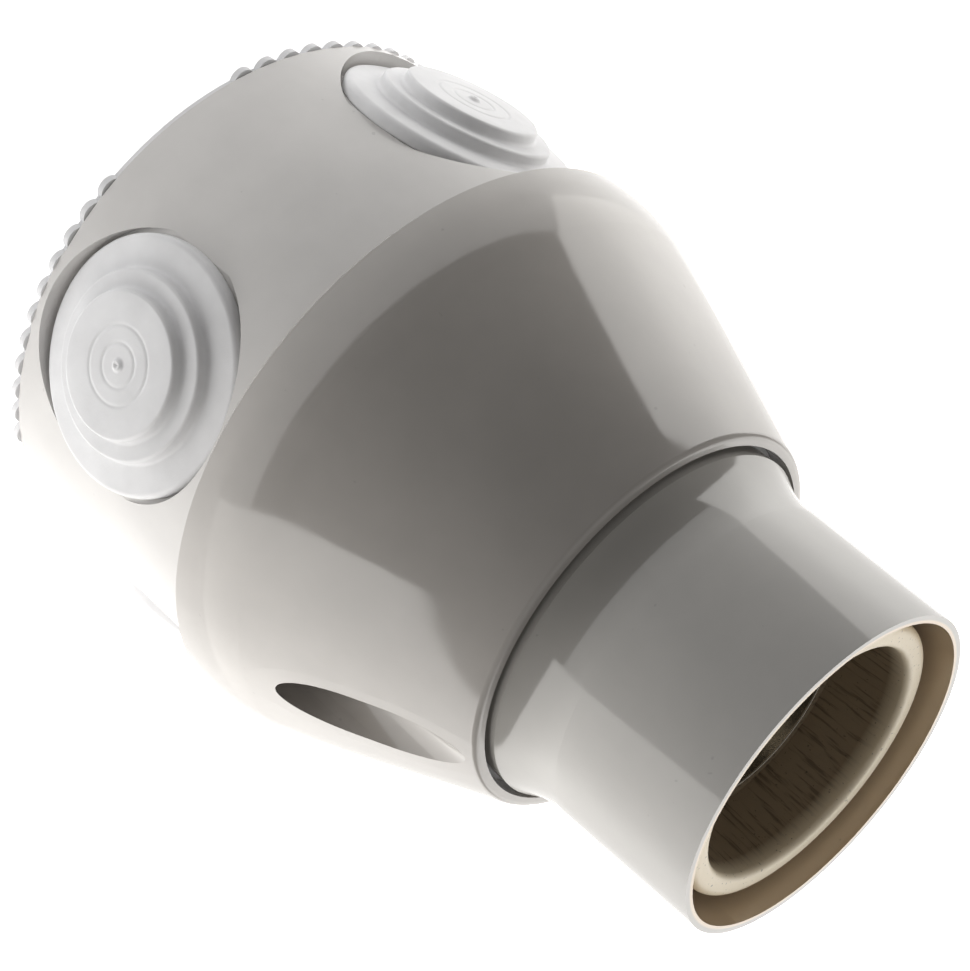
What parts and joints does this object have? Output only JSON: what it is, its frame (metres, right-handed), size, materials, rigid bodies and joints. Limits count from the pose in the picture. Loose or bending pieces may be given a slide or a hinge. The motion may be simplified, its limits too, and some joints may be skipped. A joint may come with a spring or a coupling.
{
  "type": "lamp holder",
  "caption": "Surface-mounted lamp holder: round grey plastic base with rubber cable entries, conical screw-on cover, and a sleeve round a porcelain screw-cap lamp socket.",
  "frame": {"origin": "centre of the wall gasket's back face, on the lamp axis", "axes": "+Z along the lamp axis, from the wall out of the socket's mouth; +X, +Y, -X and -Y each through a cable entry"},
  "size_m": [0.0906, 0.0906, 0.116],
  "materials": {
    "housing_plastic": "glossy warm light grey",
    "cover_plastic": "glossy warm light grey",
    "sleeve_plastic": "glossy warm light grey",
    "rubber": "matt cool light grey",
    "porcelain": "unglazed to satin cream porcelain",
    "nickel": "nickel plated",
    "steel": "zinc plated",
    "brass": "plain"
  },
  "bodies": {
    "holder": {"wall_gasket": "rubber", "base_housing": "housing_plastic", "cover_seal": "rubber", "cover_cone": "cover_plastic", "sleeve_seal": "rubber", "lamp_sleeve": "sleeve_plastic", "ceramic_base": "porcelain", "ceramic_shroud": "porcelain", "screw_shell": "nickel", "live_strip": "brass", "neutral_strip": "brass", "cable_membrane_1": "rubber", "cable_membrane_2": "rubber", "cable_membrane_3": "rubber", "cable_membrane_4": "rubber", "cover_screw_1": "steel", "cover_screw_2": "steel", "sleeve_screw_1": "steel", "sleeve_screw_2": "steel", "porcelain_screw_1": "steel", "porcelain_screw_2": "steel", "shell_rivet_1": "brass", "shell_rivet_2": "brass", "live_terminal": "brass", "live_terminal_screw": "brass", "neutral_terminal": "brass", "neutral_terminal_screw": "brass", "contact_spring": "steel"},
    "contact": {"centre_contact": "brass", "contact_clip": "steel"}
  },
  "joints": [
    {"name": "contact_plunge", "type": "slide", "parent": "holder", "child": "contact", "axis": [0, 0, -1], "range_m": [0, 0.002], "stiffness_N_per_m": 1000, "springref_m": -0.001, "deforming": ["contact_spring"]}
  ]
}
